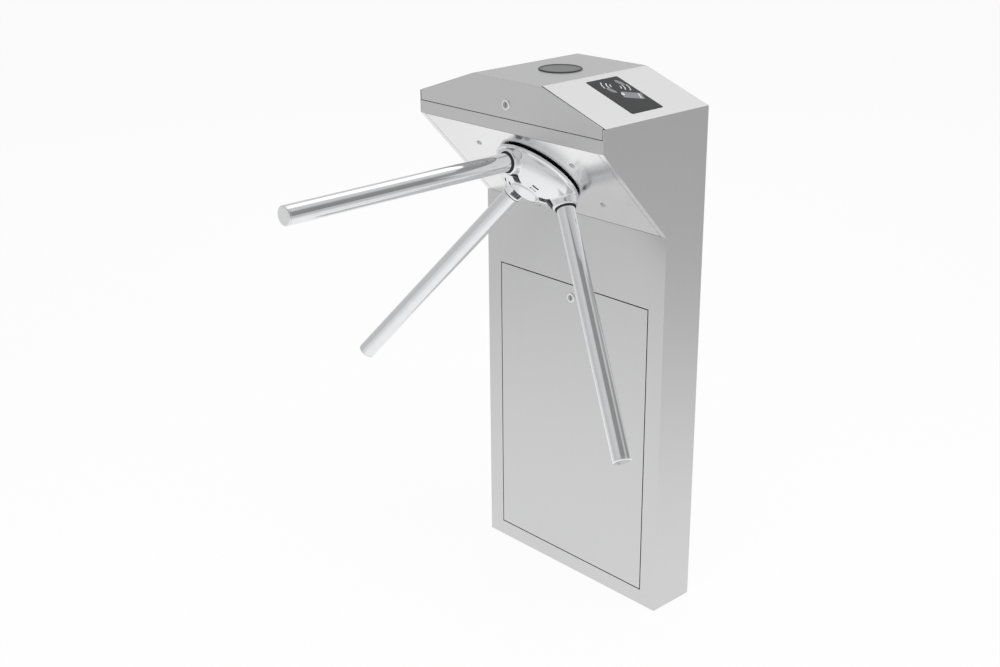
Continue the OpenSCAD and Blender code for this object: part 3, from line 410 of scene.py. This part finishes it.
edges = {
    "sheet": {"end_shell_left": 0.7, "end_shell_right": 0.7, "lid": 0.6, "head_rail": 0.5, "front_panel": 0.5,
              "plinth_strip": 0.5, "door": 0.5, "slanted_panel": 0.4, "rear_panel": 0.5, "base_plate": 0.8,
              "rear_frame": 0.4, "mechanism_plate": 0.5, "lid_hinge_fixed_leaf": 0.2,
              "lid_hinge_moving_leaf": 0.2, "door_lock_cam": 0.25, "lid_lock_cam": 0.25, "power_supply": 0.4},
    "turned": {"arm_1": 0.5, "arm_2": 0.5, "arm_3": 0.5, "arm_end_caps": 0.5, "hub_cap": 0.5, "hub_nut": 0.4,
               "shaft_nut": 0.4, "shaft": 0.4, "plate_standoffs": 0.4, "plate_pillars": 0.3, "pawl_pins": 0.3,
               "front_bearing": 0.4, "rear_bearing": 0.4, "housing_bolts": 0.3, "door_lock_barrel": 0.3,
               "lid_lock_barrel": 0.3, "door_lock_plug": 0.2, "lid_lock_plug": 0.2, "panel_screws": 0.25,
               "door_pivot_pins": 0.3, "lid_hinge_pin": 0.2, "plunger_left": 0.3, "plunger_right": 0.3},
    "milled": {"index_disc": 0.4, "sensor_disc": 0.2, "pawl_left": 0.4, "pawl_right": 0.4, "pawl_plate": 0.4,
               "shaft_key": 0.2, "bearing_housing": 0.8},
    "moulded": {"reader_plate": 0.5, "indicator_bezel": 0.3, "indicator_lens": 0.6, "indicator_housing": 0.6,
                "reader_module": 0.8, "backup_battery": 1.2, "terminal_strip": 0.3, "solenoid_left": 0.5,
                "solenoid_right": 0.5, "control_board": 0.15, "sensor_board": 0.15},
}


def edgedCopies():
    for process, radii in edges.items():
        for node, radius in radii.items():
            piece = copyOfNode(node, node + "_" + process)
            applied(piece, "BEVEL", width=radius * mm, segments=rounding["segments"], limit_method="ANGLE",
                    angle_limit=math.radians(rounding["fromAngle"]))
            smoothed(piece)
            applied(piece, "WEIGHTED_NORMAL", weight=rounding["weight"], keep_sharp=True)
            seat(piece, node, finishOf[node])
            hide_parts(node)
        print(process, "edges:", len(radii), "pieces")


edgedCopies()


# frames of the slanted panel, the hub and the arms, in metres: z points out of the panel or along the arm

hubPlace = {"head": -0.206, "front": -0.048, "chin": 0.892, "knee": 0.722, "rise": 0.004}
overhang = hubPlace["front"] - hubPlace["head"]
drop = hubPlace["chin"] - hubPlace["knee"]
slant = math.atan2(overhang, drop)
panelMiddle = Matrix.Translation((0, hubPlace["head"] + overhang / 2, hubPlace["knee"] + drop / 2))
panelFrame = panelMiddle @ Matrix.Rotation(math.pi / 2 + slant, 4, "X")
hubFrame = panelFrame @ Matrix.Translation((0, hubPlace["rise"], 0))
armPlace = {"count": 3, "mouth": (0, 0.075, 0.035), "insertSide": 0.0188, "facing": 0.8}


def armFrame(number):
    turned = Matrix.Rotation(2 * math.pi * number / armPlace["count"], 4, "Z")
    return hubFrame @ turned @ Matrix.Translation(armPlace["mouth"]) @ Matrix.Rotation(-slant, 4, "X")


# the end shells' returns beside the slanted panel are polished with it

returns = {"within": 0.5, "facing": 0.9}


def polishedReturns():
    inside = panelFrame.inverted()
    for name in ("end_shell_left_sheet", "end_shell_right_sheet"):
        piece = bpy.data.objects[name]
        piece.data.materials.append(brightSteel)
        for face in piece.data.polygons:
            facing = (inside.to_3x3() @ face.normal).z
            if facing > returns["facing"] and abs((inside @ face.center).z) < returns["within"] * mm:
                face.material_index = 1
        print(name, sum(face.material_index for face in piece.data.polygons), "polished faces")


polishedReturns()


# the hexagon sockets of the panel's screws lie in shade: their faces get a dark finish, a painted shade

screwSocket = {"radius": 1.9, "below": 1.6}


def screwSockets():
    piece = bpy.data.objects["panel_screws_turned"]
    piece.data.materials.append(paintedSocketShade)
    inside = panelFrame.inverted()
    spots = [inside @ vertex.co for vertex in piece.data.vertices]
    right = [spot.x for spot in spots if spot.x > 0]
    upper = [spot.y for spot in spots if spot.y > 0]
    heart = Vector(((min(right) + max(right)) / 2, (min(upper) + max(upper)) / 2))
    for face in piece.data.polygons:
        spot = inside @ face.center
        away = (Vector((abs(spot.x), abs(spot.y))) - heart).length
        if away < screwSocket["radius"] * mm and 0 < spot.z < screwSocket["below"] * mm:
            face.material_index = 1
    print("screw sockets:", sum(face.material_index for face in piece.data.polygons), "dark faces")


screwSockets()


# the posts and the sensor forks on the two boards aren't made of board

fittings = {"boardTop": 1.7, "post": (22, 70), "postRadius": 3.2, "stand": 9.9}


def boardFittings():
    sensors = bpy.data.objects["sensor_board_moulded"]
    control = bpy.data.objects["control_board_moulded"]
    for board in (sensors, control):
        board.data.materials.append(darkPlastic)
        board.data.materials.append(zinc)
    inside = hubFrame.inverted()
    boardTop = min((inside @ vertex.co).z for vertex in sensors.data.vertices) + fittings["boardTop"] * mm
    post = Vector(fittings["post"]) * mm
    for face in sensors.data.polygons:
        spot = inside @ face.center
        if spot.z > boardTop:
            byPost = (Vector((abs(spot.x), spot.y)) - post).length < fittings["postRadius"] * mm
            face.material_index = 2 if byPost else 1
    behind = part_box("control_board")[1][1] - fittings["stand"] * mm
    for face in control.data.polygons:
        if face.center.y > behind:
            face.material_index = 2
    fitted = sum(face.material_index > 0 for face in sensors.data.polygons)
    print("board fittings:", fitted, "faces on the sensors' board")


boardFittings()


# gaskets at the arms' mouths, with grey inserts in the sockets' windows

def socketInserts():
    piece = copyOfNode("arm_gaskets", "socket_seals")
    seat(piece, "arm_gaskets", rubber)
    piece.data.materials.append(insertGrey)
    frames = [armFrame(number).inverted() for number in range(armPlace["count"])]
    for face in piece.data.polygons:
        nearest = min(frames, key=lambda there: (there @ face.center).xy.length)
        off = (nearest @ face.center).y
        facing = (nearest.to_3x3() @ face.normal).y * math.copysign(1, off)
        if abs(off) > armPlace["insertSide"] and facing > armPlace["facing"]:
            face.material_index = 1
    smoothed(piece)
    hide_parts("arm_gaskets")
    print("socket seals:", sum(face.material_index for face in piece.data.polygons), "grey faces")


socketInserts()


# the hub as a polished die casting: its corners and the roots of its sockets flow into each other
# the slots in its nose are cut afterwards, in millimetres and degrees

casting = {"voxel": 1.2, "passes": 9, "factor": 0.5, "flowAngle": 60}
noseSlots = {"long": 13, "wide": 3.4, "deep": 12, "rows": (32.5, 42.5), "turns": (-60, 60, 180), "low": 34}


def slotPlace(turn, row):
    place = hubFrame @ Matrix.Rotation(math.radians(turn), 4, "Z")
    return place @ Matrix.Translation((0, row * mm, (noseSlots["low"] + noseSlots["deep"] / 2) * mm))


def slotCutter():
    cutter = None
    for turn in noseSlots["turns"]:
        for row in noseSlots["rows"]:
            bpy.ops.mesh.primitive_cube_add(size=mm)
            slot = bpy.context.object
            sides = Matrix.Diagonal((noseSlots["long"], noseSlots["wide"], noseSlots["deep"], 1))
            slot.data.transform(slotPlace(turn, row) @ sides)
            selectOnly(slot)
            if cutter:
                cutter.select_set(True)
                bpy.context.view_layer.objects.active = cutter
                bpy.ops.object.join()
            cutter = bpy.context.object
    return cutter


def hubCasting():
    piece = copyOfNode("hub", "hub_casting")
    piece.data.transform(hubFrame.inverted())  # the remesh follows the flange's plane
    applied(piece, "REMESH", mode="VOXEL", voxel_size=casting["voxel"] * mm, use_smooth_shade=True)
    applied(piece, "SMOOTH", factor=casting["factor"], iterations=casting["passes"])
    piece.data.transform(hubFrame)
    cutter = slotCutter()
    applied(piece, "BOOLEAN", operation="DIFFERENCE", object=cutter)
    bpy.data.objects.remove(cutter)
    smoothed(piece, casting["flowAngle"])
    seat(piece, "hub", castChrome)
    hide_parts("hub")
    print("hub cast:", len(piece.data.polygons), "faces")


hubCasting()


# symbols printed on the reader's plate: two generic signs of a hand and its waves, and a card
# each sign is x, y, length, width and turn on the plate, in millimetres and degrees

reader = {"thick": 4, "ink": 0.06, "fall": math.atan2(48, 139)}
waves = {"centre": (28, 45), "radii": (10.8, 17.5, 26.5), "stroke": 2.2, "middle": -110,
         "spread": (25, 28, 22), "steps": 14}
signs = {"finger": (37, 25, 20, 9.5, 20), "card": (62, 50, 38, 20, 64), "chip": (53, 36, 6, 9, 64),
         "stripe": (67.5, 62, 3, 17, 64), "turnedAbout": (57, 86), "corner": 3, "cornerSteps": 4, "sides": 28}


def readerFrame():
    low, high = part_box("reader_plate")
    fall = reader["fall"]
    edge = (low[0] + reader["thick"] * mm * math.sin(fall), low[1], high[2])
    return Matrix.Translation(edge) @ Matrix.Rotation(fall, 4, "Y") @ Matrix.Scale(mm, 4)


def waveStroke(radius, spread):
    bpy.ops.mesh.primitive_plane_add(size=waves["stroke"], location=(radius, 0, 0))
    stroke = bpy.context.object
    selectOnly(stroke)
    bpy.ops.object.transform_apply()
    bpy.ops.object.mode_set(mode="EDIT")
    bpy.ops.mesh.select_all(action="DESELECT")
    bpy.ops.object.mode_set(mode="OBJECT")
    for vertex in stroke.data.vertices:
        vertex.select = vertex.co.y > 0
    bpy.ops.object.mode_set(mode="EDIT")
    bpy.ops.mesh.delete(type="VERT")
    bpy.ops.mesh.select_all(action="SELECT")
    bpy.ops.mesh.spin(steps=waves["steps"], angle=math.radians(2 * spread), center=(0, 0, 0), axis=(0, 0, 1))
    bpy.ops.object.mode_set(mode="OBJECT")
    turn = math.radians(waves["middle"] + spread)
    stroke.data.transform(Matrix.Translation((*waves["centre"], 0)) @ Matrix.Rotation(turn, 4, "Z"))
    return stroke


def plateShape(x, y, long, wide, turn, rounded):
    if rounded:
        bpy.ops.mesh.primitive_circle_add(vertices=signs["sides"], radius=1 / 2, fill_type="NGON")
    else:
        bpy.ops.mesh.primitive_plane_add(size=1)
    shape = bpy.context.object
    shape.data.transform(Matrix.Translation((x, y, 0)) @ Matrix.Rotation(math.radians(turn), 4, "Z")
                         @ Matrix.Diagonal((long, wide, 1, 1)))
    if not rounded:
        selectOnly(shape)
        bpy.ops.object.mode_set(mode="EDIT")
        bpy.ops.mesh.select_all(action="SELECT")
        corner = min(signs["corner"], wide / 3, long / 3)
        bpy.ops.mesh.bevel(offset=corner, segments=signs["cornerSteps"], affect="VERTICES")
        bpy.ops.object.mode_set(mode="OBJECT")
    return shape


def printed(shapes, name, ink):
    selectOnly(shapes[0])
    for shape in shapes:
        shape.select_set(True)
    bpy.ops.object.join()
    piece = bpy.context.object
    piece.name = piece.data.name = name
    bpy.ops.object.mode_set(mode="EDIT")
    bpy.ops.mesh.select_all(action="SELECT")
    bpy.ops.mesh.remove_doubles(threshold=merging["ink"])
    bpy.ops.mesh.normals_make_consistent(inside=False)
    bpy.ops.mesh.extrude_region_move(TRANSFORM_OT_translate={"value": (0, 0, reader["ink"])})
    bpy.ops.mesh.select_all(action="SELECT")
    bpy.ops.mesh.normals_make_consistent(inside=False)
    bpy.ops.object.mode_set(mode="OBJECT")
    piece.data.transform(readerFrame())
    seat(piece, "reader_plate", ink)
    return piece


def readerSymbols():
    light, grey = [], []
    turnBack = Matrix.Translation((*signs["turnedAbout"], 0)) @ Matrix.Rotation(math.pi, 4, "Z")
    for second in (False, True):
        for radius, spread in zip(waves["radii"], waves["spread"]):
            light.append(waveStroke(radius, spread))
            if second:
                light[-1].data.transform(turnBack)
        grey.append(plateShape(*signs["finger"], True))
        if second:
            grey[-1].data.transform(turnBack)
    grey.append(plateShape(*signs["card"], False))
    printed(grey, "reader_signs", greyInk)
    for name in ("chip", "stripe"):
        light.append(plateShape(*signs[name], False))
    top = printed(light, "reader_waves", lightInk)
    lift = reader["ink"] / 2 * mm  # the chip and the stripe lie on the card
    away = (math.sin(reader["fall"]) * lift, 0, math.cos(reader["fall"]) * lift)
    top.data.transform(Matrix.Translation(away))
    print("reader symbols printed")


readerSymbols()


# studio: a pale floor, a room that metal reflects, and soft lamps
# the room's tones are lobes, with turn and height of their middle and the angles where they start and end

studio = {"size": 40, "floor": 0.84, "rough": 0.9, "white": 0.93, "nearFloor": 1.06, "farFloor": 0.80,
          "near": 0.2, "reach": 2.4, "rightWay": (0.73, 0.68, 0), "rightFrom": 0.4, "rightFall": 0.18,
          "fill": 0.5, "room": 0.70}
roomTones = {
    "backSoftbox": {"turn": 108, "height": 47, "core": 11, "edge": 24, "tone": 1.45},
    "rightWall": {"turn": 42, "height": 6, "core": 18, "edge": 40, "tone": 0.30},
    "frontCeiling": {"turn": -21, "height": 54, "core": 20, "edge": 34, "tone": 0.32},
    "leftWall": {"turn": 217, "height": 2, "core": 18, "edge": 46, "tone": 0.62},
}


def paleFloor():
    bpy.ops.mesh.primitive_plane_add(size=studio["size"], location=(0, 0, 0))
    floor = bpy.context.object
    floor.name = "studioFloor"
    paper = Finish("paleFloor", (studio["floor"],) * 3, Roughness=studio["rough"])
    camera = paper.node("ShaderNodeLightPath", {}, {}, "Is Camera Ray")
    gloss = paper.node("ShaderNodeLightPath", {}, {}, "Is Glossy Ray")
    away = paper.node("ShaderNodeVectorMath", {"operation": "LENGTH"}, {0: paper.place()}, "Value")
    fade = paper.smooth(away, studio["near"], studio["reach"], studio["nearFloor"], studio["farFloor"])
    right = paper.node("ShaderNodeVectorMath", {"operation": "DOT_PRODUCT"},
                       {0: paper.place(), 1: studio["rightWay"]}, "Value")
    fade = fade - paper.smooth(right, studio["rightFrom"], studio["reach"], 0.0, studio["rightFall"])
    strength = camera * 1.0 + (1 - camera) * fade
    glow = paper.node("ShaderNodeEmission", {}, {"Color": (1, 1, 1, 1), "Strength": strength})
    seen = paper.maths("MAXIMUM", camera, gloss) * studio["white"]
    shader = Signal(paper, paper.shader.outputs[0])
    mixed = paper.node("ShaderNodeMixShader", {}, {0: seen, 1: shader, 2: glow})
    paper.tree.links.new(mixed.socket, paper.tree.nodes["Material Output"].inputs["Surface"])
    floor.data.materials.append(paper.material)


def roomWorld():
    world = bpy.data.worlds.new("studioWorld")
    world.use_nodes = True
    bpy.context.scene.world = world
    room = ShadeTree(world.node_tree)
    camera = room.node("ShaderNodeLightPath", {}, {}, "Is Camera Ray")
    gloss = room.node("ShaderNodeLightPath", {}, {}, "Is Glossy Ray")
    aim = room.node("ShaderNodeTexCoord", {}, {}, "Generated")
    tone = studio["room"]
    for spot in roomTones.values():
        turn, height = math.radians(spot["turn"]), math.radians(spot["height"])
        middle = (math.cos(turn) * math.cos(height), math.sin(turn) * math.cos(height), math.sin(height))
        facing = room.node("ShaderNodeVectorMath", {"operation": "DOT_PRODUCT"}, {0: aim, 1: middle}, "Value")
        edge, core = (math.cos(math.radians(spot[name])) for name in ("edge", "core"))
        patch = room.smooth(facing, edge, core)
        tone = tone + patch * (spot["tone"] - studio["room"])
    level = camera * 1.0 + (1 - camera) * (gloss * tone + (1 - gloss) * studio["fill"])
    back = room.tree.nodes["Background"]
    back.inputs["Color"].default_value = (1, 1, 1, 1)
    room.tree.links.new(level.socket, back.inputs["Strength"])


lamps = {
    "topSoftbox": {"place": (1.2, -0.4, 3.2), "aim": (0, 0, 0.8), "size": 2.4, "power": 55},
    "frontSoftbox": {"place": (0.6, -3.2, 1.6), "aim": (0, 0, 0.6), "size": 2.0, "power": 30},
    "rearSoftbox": {"place": (-2.4, 2.2, 2.6), "aim": (0, 0, 0.6), "size": 2.0, "power": 25},
}


def hangLamps():
    for name, lamp in lamps.items():
        light = bpy.data.lights.new(name, "AREA")
        light.size = lamp["size"]
        light.energy = lamp["power"]
        holder = bpy.data.objects.new(name, light)
        bpy.context.scene.collection.objects.link(holder)
        aim = Vector(lamp["aim"]) - Vector(lamp["place"])
        turned = aim.to_track_quat("-Z", "Y").to_matrix().to_4x4()
        holder.matrix_world = Matrix.Translation(lamp["place"]) @ turned
        holder.visible_glossy = False


paleFloor()
roomWorld()
hangLamps()
bpy.context.scene.view_settings.view_transform = "Standard"
print("studio lit")
